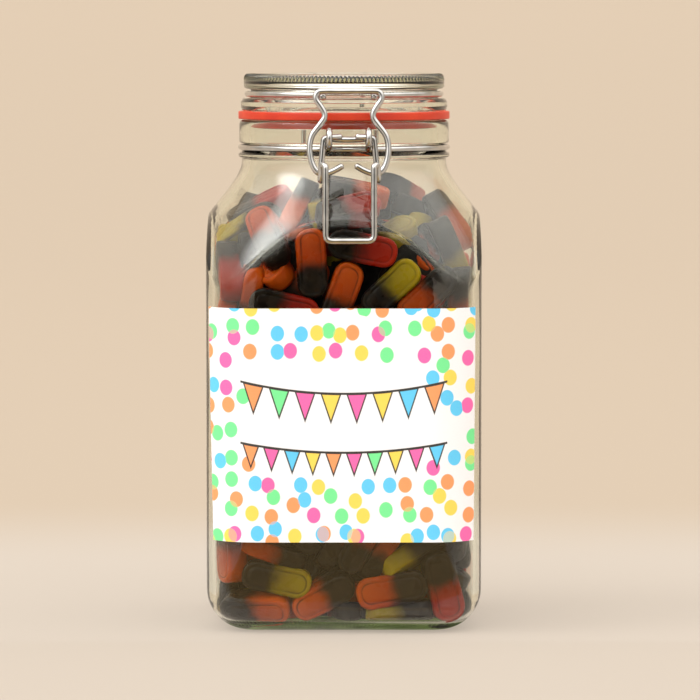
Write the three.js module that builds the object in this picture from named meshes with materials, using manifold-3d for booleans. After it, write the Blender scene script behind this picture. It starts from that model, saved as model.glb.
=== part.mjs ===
// Square clip-top glass jar, shut, filled with two-coloured liquorice gums,
// with a paper label round its front.
// Millimetres, +Z up, origin at the middle of the underside, the clip faces -Y.
import * as THREE from 'three';
import { mergeVertices } from 'three/addons/utils/BufferGeometryUtils.js';
import Module from 'manifold-3d';

const wasm = await Module();
wasm.setup();

// Clearances and fineness
const heapGap = 0.8;
const paperGap = 0.3;
const weldDistance = 1e-4;
const roundSides = 48;
const wireSides = 6;
const ringSides = 36;
const heapSides = 32;
const coreSides = 16;
const cornerSegments = 3;
const heelSteps = 3;
const shoulderSteps = 7;
const bendSteps = 3;

// Glass body
const bodyWidth = 113;
const bodyCorner = 21;
const heelRadius = 17;
const wallThickness = 3.4;
const floorThickness = 4.5;
const shoulderFootRadius = 76;
const shoulderFootZ = 126;
const shoulderLean = 4;
const shoulderDrop = 29.7;
const shoulderBlend = 5;
const neckRadius = 42.6;
const neckFootZ = 191.7;
const neckDrop = 11.7;
const beadRadius = 44;
const beadZ = [193.3, 195.8];
const grooveRadius = 41.3;
const grooveZ = [196, 198.9];
const rimRadius = 43.7;
const rimBottomZ = 199.2;
const rimTopZ = 208.8;
const rimEase = 0.8;

// Lid and seal
const lidTopZ = 228;
const lidDiscRadius = 41.8;
const lidDiscZ = 221.6;
const lidEdge = 2.6;
const lidDishRadius = 33;
const lidDishDepth = 1.2;
const lidGrooveRadius = 38.7;
const lidFlangeRadius = 43.1;
const lidFlangeZ = [212.6, 217.6];
const plugRadius = 38.2;
const plugInnerRadius = 34;
const plugBottomZ = 205;
const plugFillet = 4;
const lidHollowZ = 221.5;
const sealInnerRadius = 38.6;
const sealOuterRadius = 44;
const sealZ = [209.1, 212.3];
const sealEase = 1;

// Steel wire closure, turned a little about the jar's axis
const closureTurn = THREE.MathUtils.degToRad(2.4);
const wireRadius = 1.1;
const bendRadius = 2.6;
const eyeRadius = 2.6;
const eyeSides = 12;
const lidWireRadius = 40.2;
const lidWireZ = 219.5;
const lidWireEndX = 10.4;
const lidWireTip = { y: -45.5, z: 218.6 };
const hingePin = { y: 48, z: 208, halfWidth: 17 };
const hingeArmX = 11;
const neckWireRadius = 42.9;
const neckWireZ = 197.4;
const frontEyeX = 8;
const frontEyeRadius = 3.4;
const leverPivot = { y: -48.6, z: 202 };
const yokePivot = { y: -52.1, z: 187.9 };
const leverStubX = 3.1;
const leverShoulderX = 10.4;
const leverHookX = 11.5;
const leverLegX = 9.8;
const leverHumpTopZ = 191.4;
const leverLegTopY = -57.6;
const leverFoot = { y: -58.8, z: 160.8 };
const yokeBar = { x: 12, y: -47, z: 221 };
const yokeShoulder = { x: 13.4, z: 217.6 };
const yokeWaist = { x: 9.7, z: 211 };
const yokeBulge = { x: 16, z: 199.5 };
const yokeCornerX = 13.8;
const yokeStubX = 8.6;
const yokeTip = { x: 2.8, z: 191.2 };

// Paper label, wrapped round the front face and part of both front corners
const labelThickness = 0.4;
const labelZ = [37.6, 132.9];
const labelEnd = { left: THREE.MathUtils.degToRad(24.3), right: THREE.MathUtils.degToRad(33.6) };

// Gums: flat pieces with rounded ends, heaped up to a mound in the neck
const gum = { length: 29, width: 12.5, thickness: 8.5, endWidth: 5, endTaper: 5.5 };
const moundTop = 187;
const moundFlat = 10;
const moundDroop = 0.0122;
const moundSteps = 4;
const coreInset = 5.2;
const faceGums = {
  rows: 6,
  columns: 3,
  firstZ: 18,
  rowStep: 24,
  columnStep: 24,
  wander: 2,
  lean: 0.8,
  inset: 0.5,
};
const cornerGums = { rows: 3, firstZ: 30, rowStep: 40, inset: 1.4 };
const hiddenBehindLabel = [46, 126];
const topGums = { count: 14, reach: 50, sink: 5, lean: 0.3 };
const goldenAngle = Math.PI * (3 - Math.sqrt(5));
const heapSeed = 7;

function solidOf(geometry) {
  geometry.deleteAttribute('normal');
  geometry.deleteAttribute('uv');
  const welded = mergeVertices(geometry, weldDistance);
  const corners = welded.index.array;
  const faces = [];
  for (let i = 0; i < corners.length; i += 3) {
    const [a, b, c] = corners.slice(i, i + 3);
    if (a !== b && b !== c && c !== a) {
      faces.push(a, b, c);
    }
  }
  return new wasm.Manifold(new wasm.Mesh({
    numProp: 3,
    vertProperties: new Float32Array(welded.attributes.position.array),
    triVerts: new Uint32Array(faces),
  }));
}

function geometryOf(solid) {
  const mesh = solid.getMesh();
  const geometry = new THREE.BufferGeometry();
  geometry.setAttribute('position', new THREE.BufferAttribute(mesh.vertProperties, 3));
  geometry.setIndex(new THREE.BufferAttribute(mesh.triVerts, 1));
  geometry.computeVertexNormals();
  return geometry;
}

function join(geometries) {
  return geometries.map(solidOf).reduce((whole, piece) => whole.add(piece));
}

// The outer shell of the largest body: closed pockets are filled and loose scraps dropped.
function largestBody(solid) {
  return solid.decompose().reduce((best, piece) => (piece.volume() > best.volume() ? piece : best));
}

// A profile of [radius, height] pairs turned about the vertical axis, from the underside up.
function revolve(profile, sides = roundSides) {
  const points = profile.map(([radius, height]) => new THREE.Vector2(radius, height));
  return new THREE.LatheGeometry(points, sides).rotateX(Math.PI / 2);
}

// A hand-bent wire: straight runs between corners, each sharp corner eased into a bend.
class WirePath extends THREE.Curve {
  constructor(corners, radius) {
    super();
    this.points = [corners[0]];
    for (let i = 1; i < corners.length - 1; i += 1) {
      this.points.push(...WirePath.bend(corners[i - 1], corners[i], corners[i + 1], radius));
    }
    this.points.push(corners[corners.length - 1]);
  }

  static bend(before, corner, after, radius) {
    const inward = before.clone().sub(corner);
    const outward = after.clone().sub(corner);
    const turn = Math.PI - inward.angleTo(outward);
    const gentleTurn = 0.3;
    if (turn < gentleTurn) {
      return [corner];
    }
    const room = 0.48 * Math.min(inward.length(), outward.length());
    const cut = Math.min(radius * Math.tan(turn / 2), room);
    const start = corner.clone().add(inward.setLength(cut));
    const end = corner.clone().add(outward.setLength(cut));
    return new THREE.QuadraticBezierCurve3(start, corner, end).getPoints(bendSteps);
  }

  getPoint(t, target = new THREE.Vector3()) {
    const last = this.points.length - 1;
    const index = Math.min(Math.floor(t * last), last - 1);
    return target.lerpVectors(this.points[index], this.points[index + 1], t * last - index);
  }

  getUtoTmapping(u) {
    return u;
  }
}

function wire(corners, radius = bendRadius) {
  const path = new WirePath(corners.map((corner) => new THREE.Vector3(...corner)), radius);
  const section = new THREE.Shape();
  section.absarc(0, 0, wireRadius, 0, 2 * Math.PI);
  return new THREE.ExtrudeGeometry(section, {
    steps: path.points.length - 1,
    curveSegments: wireSides / 2,
    extrudePath: path,
    bevelEnabled: false,
  });
}

function wireRing(radius, z) {
  return new THREE.TorusGeometry(radius, wireRadius, wireSides, ringSides).translate(0, 0, z);
}

// A coiled eye whose hole runs along X.
function wireEye(x, { y, z }, radius) {
  const loop = new THREE.TorusGeometry(radius, wireRadius, wireSides, eyeSides);
  return loop.rotateY(Math.PI / 2).translate(x, y, z);
}

function mirrored(corners) {
  return corners.map(([x, y, z]) => [-x, y, z]).reverse();
}

// How far a square with rounded corners reaches from its middle in a given direction.
function squareReach(angle, half, corner) {
  const along = Math.abs(Math.cos(angle));
  const across = Math.abs(Math.sin(angle));
  const flat = half - corner;
  const far = Math.max(along, across);
  const near = Math.min(along, across);
  if (near * half <= flat * far) {
    return half / far;
  }
  return flat * (along + across) + Math.sqrt(corner ** 2 - (flat * (along - across)) ** 2);
}

// The smaller of two radii, with the corner between them eased.
function easedMin(first, second) {
  const near = Math.max(shoulderBlend - Math.abs(first - second), 0) / shoulderBlend;
  return Math.min(first, second) - (near ** 2 * shoulderBlend) / 4;
}

// Even steps round the axis, drawn closer together at the body's corners than along its flats.
function bodyAngle(even) {
  const quarter = Math.PI / 2;
  const flatSpan = Math.atan((bodyWidth / 2 - bodyCorner) / (bodyWidth / 2));
  const side = Math.floor(even / quarter);
  const within = even / quarter - side;
  const inFromFace = Math.min(within, 1 - within);
  const turn = inFromFace < 0.25
    ? (inFromFace / 0.25) * flatSpan
    : flatSpan + ((inFromFace - 0.25) / 0.25) * (quarter / 2 - flatSpan);
  return side * quarter + (within < 0.5 ? turn : quarter - turn);
}

// Rings from the underside up, each the eased overlap of a circle
// and the rounded square set in from the glass.
function squareLathe(rings, sides) {
  const profile = rings.map(({ z }) => new THREE.Vector2(1, z));
  const geometry = new THREE.LatheGeometry(profile, sides).rotateX(Math.PI / 2);
  const place = geometry.attributes.position;
  for (let i = 0; i < place.count; i += 1) {
    const { round, inset, z } = rings[i % rings.length];
    const angle = bodyAngle((2 * Math.PI * Math.floor(i / rings.length)) / sides);
    const reach = squareReach(angle, bodyWidth / 2 - inset, bodyCorner - inset);
    const radius = easedMin(round, reach);
    place.setXYZ(i, radius * Math.sin(angle), -radius * Math.cos(angle), z);
  }
  return geometry;
}

const roundRing = (round, z) => ({ round, inset: 0, z });

// The rounded heel, from the floor's edge up to the full width.
function heelRings(inset, bottomZ) {
  const radius = heelRadius - inset;
  const rings = [];
  for (let step = 0; step <= heelSteps; step += 1) {
    const turn = (step / heelSteps) * (Math.PI / 2);
    const pull = radius * (1 - Math.sin(turn));
    const z = bottomZ + radius * (1 - Math.cos(turn));
    rings.push({ round: 2 * shoulderFootRadius, inset: inset + pull, z });
  }
  return rings;
}

// The round shoulder, from below its widest turn up to the foot of the neck.
function shoulderRings(inset) {
  const curve = new THREE.CubicBezierCurve(
    new THREE.Vector2(shoulderFootRadius, shoulderFootZ),
    new THREE.Vector2(shoulderFootRadius - shoulderLean, neckFootZ - shoulderDrop),
    new THREE.Vector2(neckRadius, neckFootZ - neckDrop),
    new THREE.Vector2(neckRadius, neckFootZ),
  );
  const rings = [];
  for (let step = 0; step <= shoulderSteps; step += 1) {
    const point = curve.getPoint(step / shoulderSteps);
    const along = curve.getTangent(step / shoulderSteps);
    rings.push({ round: point.x - inset * along.y, inset, z: point.y + inset * along.x });
  }
  return rings;
}

// The space inside the glass, made smaller all round by the gap, up to the given height.
function cavity(gap, topZ, sides) {
  const depth = wallThickness + gap;
  return squareLathe([
    roundRing(0, floorThickness + gap),
    ...heelRings(depth, floorThickness + gap),
    ...shoulderRings(depth),
    roundRing(neckRadius - depth, topZ),
    roundRing(0, topZ),
  ], sides);
}

function jarGlass() {
  const mouthRadius = neckRadius - wallThickness;
  return squareLathe([
    roundRing(0, 0),
    ...heelRings(0, 0),
    ...shoulderRings(0),
    roundRing(beadRadius, beadZ[0]),
    roundRing(beadRadius, beadZ[1]),
    roundRing(grooveRadius, grooveZ[0]),
    roundRing(grooveRadius, grooveZ[1]),
    roundRing(rimRadius, rimBottomZ),
    roundRing(rimRadius, rimTopZ - rimEase),
    roundRing(rimRadius - rimEase, rimTopZ),
    roundRing(mouthRadius, rimTopZ),
    ...shoulderRings(wallThickness).reverse(),
    ...heelRings(wallThickness, floorThickness).reverse(),
    roundRing(0, floorThickness),
  ], roundSides);
}

function lidGlass() {
  return revolve([
    [0, lidHollowZ],
    [plugInnerRadius - plugFillet, lidHollowZ],
    [plugInnerRadius, lidHollowZ - plugFillet],
    [plugInnerRadius, plugBottomZ],
    [plugRadius - rimEase, plugBottomZ],
    [plugRadius, plugBottomZ + rimEase],
    [plugRadius, lidFlangeZ[0]],
    [lidFlangeRadius, lidFlangeZ[0]],
    [lidFlangeRadius, lidFlangeZ[1]],
    [lidGrooveRadius, lidFlangeZ[1]],
    [lidGrooveRadius, lidDiscZ],
    [lidDiscRadius - rimEase, lidDiscZ],
    [lidDiscRadius, lidDiscZ + rimEase],
    [lidDiscRadius, lidTopZ - lidEdge],
    [lidDiscRadius - lidEdge, lidTopZ],
    [lidDishRadius + lidDishDepth, lidTopZ],
    [lidDishRadius, lidTopZ - lidDishDepth],
    [0, lidTopZ - lidDishDepth],
  ]);
}

function sealRing() {
  const [bottom, top] = sealZ;
  return revolve([
    [sealInnerRadius, bottom],
    [sealOuterRadius - sealEase, bottom],
    [sealOuterRadius, bottom + sealEase],
    [sealOuterRadius, top - sealEase],
    [sealOuterRadius - sealEase, top],
    [sealInnerRadius, top],
    [sealInnerRadius, bottom],
  ]);
}

// The wire in the lid's groove: open at the front, where its ends stick out, with two hinge eyes behind.
function lidWire() {
  const endAngle = Math.asin(lidWireEndX / lidWireRadius);
  const corners = [[lidWireEndX, lidWireTip.y, lidWireTip.z]];
  for (let step = 0; step <= ringSides; step += 1) {
    const angle = endAngle - Math.PI / 2 + ((2 * Math.PI - 2 * endAngle) * step) / ringSides;
    corners.push([lidWireRadius * Math.cos(angle), lidWireRadius * Math.sin(angle), lidWireZ]);
  }
  corners.push([-lidWireEndX, lidWireTip.y, lidWireTip.z]);
  const pieces = [wire(corners)];
  const ringY = Math.sqrt(lidWireRadius ** 2 - hingeArmX ** 2);
  const armY = hingePin.y - eyeRadius;
  for (const x of [-hingeArmX, hingeArmX]) {
    pieces.push(wireEye(x, hingePin, eyeRadius));
    pieces.push(wire([[x, armY, hingePin.z], [x, armY, lidWireZ], [x, ringY, lidWireZ]]));
  }
  return geometryOf(join(pieces));
}

// The wire round the neck: the raised hinge pin behind, two eyes and a bridge bar in front.
function neckWire() {
  const pieces = [wireRing(neckWireRadius, neckWireZ)];
  const pinFootY = Math.sqrt(neckWireRadius ** 2 - hingePin.halfWidth ** 2);
  const postHalf = [
    [hingePin.halfWidth, pinFootY, neckWireZ],
    [hingePin.halfWidth, hingePin.y, neckWireZ + wireRadius],
    [hingePin.halfWidth, hingePin.y, hingePin.z],
  ];
  pieces.push(wire([...postHalf, ...mirrored(postHalf)]));
  const eyeFootY = -Math.sqrt(neckWireRadius ** 2 - frontEyeX ** 2);
  const eyeBack = { y: leverPivot.y + frontEyeRadius, z: leverPivot.z - frontEyeRadius };
  for (const x of [-frontEyeX, frontEyeX]) {
    pieces.push(wireEye(x, leverPivot, frontEyeRadius));
    pieces.push(wire([[x, eyeFootY, neckWireZ], [x, eyeBack.y, eyeBack.z], [x, leverPivot.y, eyeBack.z]]));
  }
  pieces.push(wire([[-frontEyeX, eyeBack.y, leverPivot.z], [frontEyeX, eyeBack.y, leverPivot.z]]));
  return geometryOf(join(pieces));
}

// The pull lever: stubs in the neck wire's eyes, a hook on each side for the yoke, then a long U.
function lever() {
  const back = yokePivot.y + eyeRadius;
  const front = yokePivot.y - eyeRadius;
  const half = [
    [leverStubX, leverPivot.y, leverPivot.z],
    [leverShoulderX, leverPivot.y, leverPivot.z],
    [leverHookX, back, yokePivot.z],
    [leverHookX, back, yokePivot.z - eyeRadius],
    [leverHookX, front, yokePivot.z - eyeRadius],
    [leverHookX, front, leverHumpTopZ],
    [leverLegX, leverLegTopY, leverHumpTopZ],
    [leverLegX, leverFoot.y, leverFoot.z],
  ];
  return wire([...half, ...mirrored(half)]);
}

// The yoke: a bar over the lid wire's ends, a waisted frame, and stubs held in the lever's hooks.
function yoke() {
  const rise = yokeBar.z - yokePivot.z;
  const yAt = (z) => yokePivot.y + ((yokeBar.y - yokePivot.y) * (z - yokePivot.z)) / rise;
  const half = [
    [yokeTip.x, yokePivot.y, yokeTip.z],
    [yokeStubX, yokePivot.y, yokePivot.z],
    [yokeCornerX, yokePivot.y, yokePivot.z],
    [yokeBulge.x, yAt(yokeBulge.z), yokeBulge.z],
    [yokeWaist.x, yAt(yokeWaist.z), yokeWaist.z],
    [yokeShoulder.x, yAt(yokeShoulder.z), yokeShoulder.z],
    [yokeBar.x, yokeBar.y, yokeBar.z],
  ];
  return wire([...half, ...mirrored(half)]);
}

function label() {
  const flat = bodyWidth / 2 - bodyCorner;
  const inner = bodyCorner + paperGap;
  const outer = inner + labelThickness;
  const quarter = Math.PI / 2;
  const outline = new THREE.Shape();
  outline.absarc(-flat, -flat, outer, -2 * quarter + labelEnd.left, -quarter);
  outline.absarc(flat, -flat, outer, -quarter, -labelEnd.right);
  outline.absarc(flat, -flat, inner, -labelEnd.right, -quarter, true);
  outline.absarc(-flat, -flat, inner, -quarter, -2 * quarter + labelEnd.left, true);
  outline.closePath();
  return new THREE.ExtrudeGeometry(outline, {
    depth: labelZ[1] - labelZ[0],
    curveSegments: cornerSegments,
    bevelEnabled: false,
  }).translate(0, 0, labelZ[0]);
}

function seededRandom(seed) {
  let state = seed;
  return () => {
    state = (state + 0x6d2b79f5) | 0;
    let mixed = Math.imul(state ^ (state >>> 15), 1 | state);
    mixed = (mixed + Math.imul(mixed ^ (mixed >>> 7), 61 | mixed)) ^ mixed;
    return ((mixed ^ (mixed >>> 14)) >>> 0) / 4294967296;
  };
}

// One gum, its flat face square to Z and its length along X.
function gumGeometry() {
  const halfLength = gum.length / 2;
  const halfWidth = gum.width / 2;
  const halfEnd = gum.endWidth / 2;
  const side = halfLength - gum.endTaper;
  const outline = new THREE.Shape([
    new THREE.Vector2(halfLength, halfEnd),
    new THREE.Vector2(side, halfWidth),
    new THREE.Vector2(-side, halfWidth),
    new THREE.Vector2(-halfLength, halfEnd),
    new THREE.Vector2(-halfLength, -halfEnd),
    new THREE.Vector2(-side, -halfWidth),
    new THREE.Vector2(side, -halfWidth),
    new THREE.Vector2(halfLength, -halfEnd),
  ]);
  return new THREE.ExtrudeGeometry(outline, { depth: gum.thickness, bevelEnabled: false })
    .translate(0, 0, -gum.thickness / 2);
}

// A gum at a place, its flat face turned to the outward direction, spun and leaning by the given angles.
function placedGum(place, outward, spin, lean = 0) {
  const facing = new THREE.Quaternion().setFromUnitVectors(new THREE.Vector3(0, 0, 1), outward);
  const turn = new THREE.Quaternion().setFromEuler(new THREE.Euler(lean, 0, spin, 'XYZ'));
  return gumGeometry().applyQuaternion(facing.multiply(turn)).translate(place.x, place.y, place.z);
}

// The mound is level in the middle and falls away ever more steeply towards the shoulder.
const pastLevel = (radius) => Math.max(radius - moundFlat, 0);
const moundHeight = (radius) => moundTop - moundDroop * pastLevel(radius) ** 2;

// Rows of gums lying flat against each wall, at any angle, left out where the label hides them.
function gumsOnFaces(random) {
  const depth = bodyWidth / 2 - wallThickness - heapGap - faceGums.inset - gum.thickness / 2;
  const wander = () => (random() - 0.5) * 2 * faceGums.wander;
  const pieces = [];
  for (let side = 0; side < 4; side += 1) {
    const outward = new THREE.Vector3(0, -1, 0);
    outward.applyAxisAngle(new THREE.Vector3(0, 0, 1), (side * Math.PI) / 2);
    const sideways = new THREE.Vector3(-outward.y, outward.x, 0);
    for (let row = 0; row < faceGums.rows; row += 1) {
      for (let column = 0; column < faceGums.columns; column += 1) {
        const across = (column - (faceGums.columns - 1) / 2) * faceGums.columnStep + wander();
        const z = faceGums.firstZ + row * faceGums.rowStep + wander();
        const spin = ((row + column + side) % 2) * (Math.PI / 2) + (random() - 0.5) * faceGums.lean;
        const place = outward.clone().multiplyScalar(depth).addScaledVector(sideways, across).setZ(z);
        const hidden = side === 0 && z > hiddenBehindLabel[0] && z < hiddenBehindLabel[1];
        if (!hidden) {
          pieces.push(placedGum(place, outward, spin));
        }
      }
    }
  }
  return pieces;
}

// Upright gums in the body's corners.
function gumsInCorners() {
  const inset = wallThickness + heapGap + cornerGums.inset + gum.thickness / 2;
  const reach = squareReach(Math.PI / 4, bodyWidth / 2 - inset, bodyCorner - inset);
  const pieces = [];
  for (let corner = 0; corner < 4; corner += 1) {
    const angle = ((corner + 0.5) * Math.PI) / 2;
    const outward = new THREE.Vector3(Math.cos(angle), Math.sin(angle), 0);
    const upright = angle;
    for (let row = 0; row < cornerGums.rows; row += 1) {
      const z = cornerGums.firstZ + (row + (corner % 2) / 3) * cornerGums.rowStep;
      const place = outward.clone().multiplyScalar(reach).setZ(z);
      pieces.push(placedGum(place, outward, upright));
    }
  }
  return pieces;
}

// Gums lying over the mound, on an even spiral.
function gumsOnTop(random) {
  const pieces = [];
  for (let i = 0; i < topGums.count; i += 1) {
    const radius = topGums.reach * Math.sqrt((i + 0.5) / topGums.count);
    const angle = i * goldenAngle;
    const place = new THREE.Vector3(radius * Math.cos(angle), radius * Math.sin(angle), 0);
    const slope = 2 * moundDroop * pastLevel(radius);
    const outward = new THREE.Vector3(slope * Math.cos(angle), slope * Math.sin(angle), 1).normalize();
    place.setZ(moundHeight(radius) - topGums.sink);
    pieces.push(placedGum(place, outward, random() * Math.PI, (random() - 0.5) * topGums.lean));
  }
  return pieces;
}

// The heap: a core inside the glass with the showing gums fused on,
// cut short where they would cross the glass.
function sweetsHeap() {
  const random = seededRandom(heapSeed);
  const profile = [[0, 0], [shoulderFootRadius, 0]];
  for (let step = 0; step <= moundSteps; step += 1) {
    const radius = shoulderFootRadius * (1 - step / moundSteps);
    profile.push([radius, moundHeight(radius) - coreInset]);
  }
  const mound = solidOf(revolve(profile, coreSides));
  const core = solidOf(cavity(coreInset, moundTop, coreSides)).intersect(mound);
  const gums = join([...gumsOnFaces(random), ...gumsInCorners(), ...gumsOnTop(random)]);
  const heap = core.add(gums).intersect(solidOf(cavity(heapGap, moundTop + gum.thickness, heapSides)));
  return geometryOf(largestBody(heap));
}

function part(name, geometry, colour, roughness, metalness = 0) {
  const material = new THREE.MeshStandardMaterial({ color: colour, roughness, metalness });
  const mesh = new THREE.Mesh(geometry, material);
  mesh.name = name;
  return mesh;
}

const glassColour = 0xdfe4d6;
const steelColour = 0xc9c9c6;
const sealColour = 0xd8371c;
const paperColour = 0xf7f6f3;
const gumColour = 0x6b2f22;

const closure = new THREE.Group();
closure.rotation.z = closureTurn;
closure.add(
  part('neck_wire', neckWire(), steelColour, 0.25, 1),
  part('lid_wire', lidWire(), steelColour, 0.25, 1),
  part('lever', lever(), steelColour, 0.25, 1),
  part('yoke', yoke(), steelColour, 0.25, 1),
);

const jar = new THREE.Group();
jar.add(
  part('jar_glass', jarGlass(), glassColour, 0.05),
  part('lid_glass', lidGlass(), glassColour, 0.05),
  part('seal_ring', sealRing(), sealColour, 0.55),
  part('label', label(), paperColour, 0.8),
  part('sweets', sweetsHeap(), gumColour, 0.45),
  closure,
);

export default jar;
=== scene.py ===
import math

import bmesh
import bpy
import numpy as np
from mathutils import Matrix, Vector


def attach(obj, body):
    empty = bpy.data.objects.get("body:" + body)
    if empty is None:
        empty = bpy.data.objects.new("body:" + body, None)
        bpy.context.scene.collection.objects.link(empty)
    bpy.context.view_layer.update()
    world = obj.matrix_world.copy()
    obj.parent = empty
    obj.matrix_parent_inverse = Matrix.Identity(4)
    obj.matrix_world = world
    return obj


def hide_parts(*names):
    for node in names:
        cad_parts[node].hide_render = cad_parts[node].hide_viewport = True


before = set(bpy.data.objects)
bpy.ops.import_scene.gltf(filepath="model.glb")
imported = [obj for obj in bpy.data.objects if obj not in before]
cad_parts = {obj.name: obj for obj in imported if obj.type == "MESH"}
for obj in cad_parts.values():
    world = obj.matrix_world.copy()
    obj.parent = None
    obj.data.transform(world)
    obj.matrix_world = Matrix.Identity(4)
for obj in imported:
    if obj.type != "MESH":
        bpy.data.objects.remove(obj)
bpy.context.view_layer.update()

scene = bpy.context.scene
metres = 0.001  # shapes are worked out in millimetres
fullTurn = 2 * math.pi
tiny = 1e-6  # keeps a division from meeting nought
print("frame:", ", ".join(sorted(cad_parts)))


# shared helpers

def addObject(name, data):
    item = bpy.data.objects.new(name, data)
    scene.collection.objects.link(item)
    return item


def newMesh(name, points, edges, faces, finish=None):
    mesh = bpy.data.meshes.new(name)
    mesh.from_pydata(points, edges, faces)
    if finish:
        mesh.materials.append(finish)
    return mesh


# sines and cosines through a quarter turn
def quarterTurn(steps):
    turns = [math.radians(90) * step / steps for step in range(1, steps + 1)]
    return [(math.sin(turn), math.cos(turn)) for turn in turns]


# shares of the way along a stretch, without its start
def partway(count):
    return np.linspace(0, 1, count + 1)[1:]


# camera

cameraView = {
    "target": (0.0025, 0.0, 0.1124),
    "distance": 1.8,
    "elevation": 4.2,
    "lens": 221.2,
    "sensor": 36.0,
    "reach": 60.0,
}


def setCamera(view):
    data = bpy.data.cameras.new("camera")
    data.lens = view["lens"]
    data.sensor_width = view["sensor"]
    data.clip_end = view["reach"]
    camera = addObject("camera", data)
    tilt = math.radians(view["elevation"])
    x, y, z = view["target"]
    back = view["distance"] * math.cos(tilt)
    rise = view["distance"] * math.sin(tilt)
    camera.location = (x, y - back, z + rise)
    camera.rotation_euler = (math.radians(90) - tilt, 0, 0)
    scene.camera = camera


setCamera(cameraView)


# node helpers

def newFinish(name):
    finish = bpy.data.materials.new(name)
    finish.use_nodes = True
    finish.node_tree.nodes.clear()
    output = finish.node_tree.nodes.new("ShaderNodeOutputMaterial")
    shader = finish.node_tree.nodes.new("ShaderNodeBsdfPrincipled")
    finish.node_tree.links.new(shader.outputs[0], output.inputs["Surface"])
    return finish, finish.node_tree, shader, output


def setInputs(tree, node, inputs):
    for key, value in inputs.items():
        if isinstance(value, bpy.types.NodeSocket):
            tree.links.new(value, node.inputs[key])
        else:
            node.inputs[key].default_value = value


def addNode(tree, kind, inputs=None, **settings):
    node = tree.nodes.new(kind)
    for key, value in settings.items():
        setattr(node, key, value)
    setInputs(tree, node, inputs or {})
    return node


# the first output of a new node
def outOf(tree, kind, inputs=None, **settings):
    return addNode(tree, kind, inputs, **settings).outputs[0]


def sums(tree, operation, first, second=0.0, third=0.0):
    return outOf(tree, "ShaderNodeMath", {0: first, 1: second, 2: third}, operation=operation)


def vectors(tree, operation, first, second):
    return outOf(tree, "ShaderNodeVectorMath", {0: first, 1: second}, operation=operation)


def mixColours(tree, share, first, second, blend="MIX"):
    inputs = {0: share, 6: first, 7: second}
    return addNode(tree, "ShaderNodeMix", inputs, data_type="RGBA", blend_type=blend).outputs[2]


def grain(tree, point, scale, detail=3.0):
    return outOf(tree, "ShaderNodeTexNoise", {"Vector": point, "Scale": scale, "Detail": detail})


def roughen(tree, height, strength, distance):
    return outOf(tree, "ShaderNodeBump", {"Height": height, "Strength": strength, "Distance": distance})


def spread(tree, value, low, high, newLow=0.0, newHigh=1.0, smooth=False):
    inputs = {0: value, 1: low, 2: high, 3: newLow, 4: newHigh}
    kind = "SMOOTHSTEP" if smooth else "LINEAR"
    return outOf(tree, "ShaderNodeMapRange", inputs, interpolation_type=kind)


def objectPlace(tree):
    return addNode(tree, "ShaderNodeTexCoord").outputs["Object"]


def apart(tree, vector):
    return addNode(tree, "ShaderNodeSeparateXYZ", {0: vector}).outputs


def pointValue(tree, name):
    return addNode(tree, "ShaderNodeAttribute", attribute_name=name).outputs["Fac"]


def rgb(red, green, blue):
    shares = [level / 255 for level in (red, green, blue)]
    linear = [share / 12.92 if share < 0.04045 else ((share + 0.055) / 1.055)**2.4 for share in shares]
    return (*linear, 1.0)


# floor, backdrop and light

studio = {
    "wall": rgb(230, 210, 186),
    "floor": rgb(238, 224, 208),
    "floorEdge": (0.18, 0.46),  # depths over which the floor's tone gives way to the wall's
    "lightShare": 0.26,  # share of the sweep's tone that follows the light, shadows included
    "floorGlow": 0.46,
    "wallGlow": 0.67,
    "halfWidth": 7.0,
    "front": -5.0,
    "bendStart": 2.4,
    "bendRadius": 2.6,
    "bendSteps": 16,
    "wallTop": 5.0,
    "climb": 1.2,  # height by which the sweep has its full wall glow
    "tooth": 900.0,  # scale of the paper's grain
    "frontColour": (0.06, 0.053, 0.044, 1.0),  # it is dim just behind the camera
    "frontCone": (-0.97, -0.80),  # cosines over which that dim patch gives way to the room
    "backColour": (0.66, 0.59, 0.50, 1.0),
    "skyRise": (0.25, 0.85),  # height, as a sine, over which the sky brightens
    "skyBrightness": 0.95,
}

# soft light all round: way it comes from, width of the patch as a cosine, brightness
skyPatches = (
    ((-0.66, -0.15, 0.73), 0.955, 5.6),
    ((-0.50, -0.60, 0.63), 0.70, 1.5),
    ((0.50, -0.60, 0.63), 0.72, 0.7),
    ((0.74, 0.10, 0.66), 0.88, 0.6),
)

# cards on the floor, seen only in reflections and through glass: near and far edge, half width, own light
mirrorCards = {
    "darkCard": (-1.0, -4.9, 0.27, (0.008, 0.007, 0.006, 1.0)),
    "warmCard": (-0.075, -1.0, 0.20, (0.58, 0.40, 0.19, 1.0)),
}


def lightRoom():
    world = bpy.data.worlds.new("studio")
    scene.world = world
    world.use_nodes = True
    tree = world.node_tree
    way = addNode(tree, "ShaderNodeTexCoord").outputs["Generated"]
    _, back, up = apart(tree, way)
    behind = spread(tree, back, *studio["frontCone"], smooth=True)
    tone = mixColours(tree, behind, studio["frontColour"], studio["backColour"])
    light = spread(tree, up, *studio["skyRise"], 0.0, studio["skyBrightness"], smooth=True)
    for aim, width, brightness in skyPatches:
        toward = addNode(tree, "ShaderNodeVectorMath", {0: way, 1: Vector(aim).normalized()},
                         operation="DOT_PRODUCT").outputs["Value"]
        patch = spread(tree, toward, width, 1.0, 0.0, brightness, smooth=True)
        light = sums(tree, "ADD", light, patch)
    white = outOf(tree, "ShaderNodeCombineColor", {0: light, 1: light, 2: light})
    setInputs(tree, tree.nodes["Background"], {0: mixColours(tree, 1.0, tone, white, "ADD")})
    scene.view_settings.view_transform = "Standard"


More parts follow.
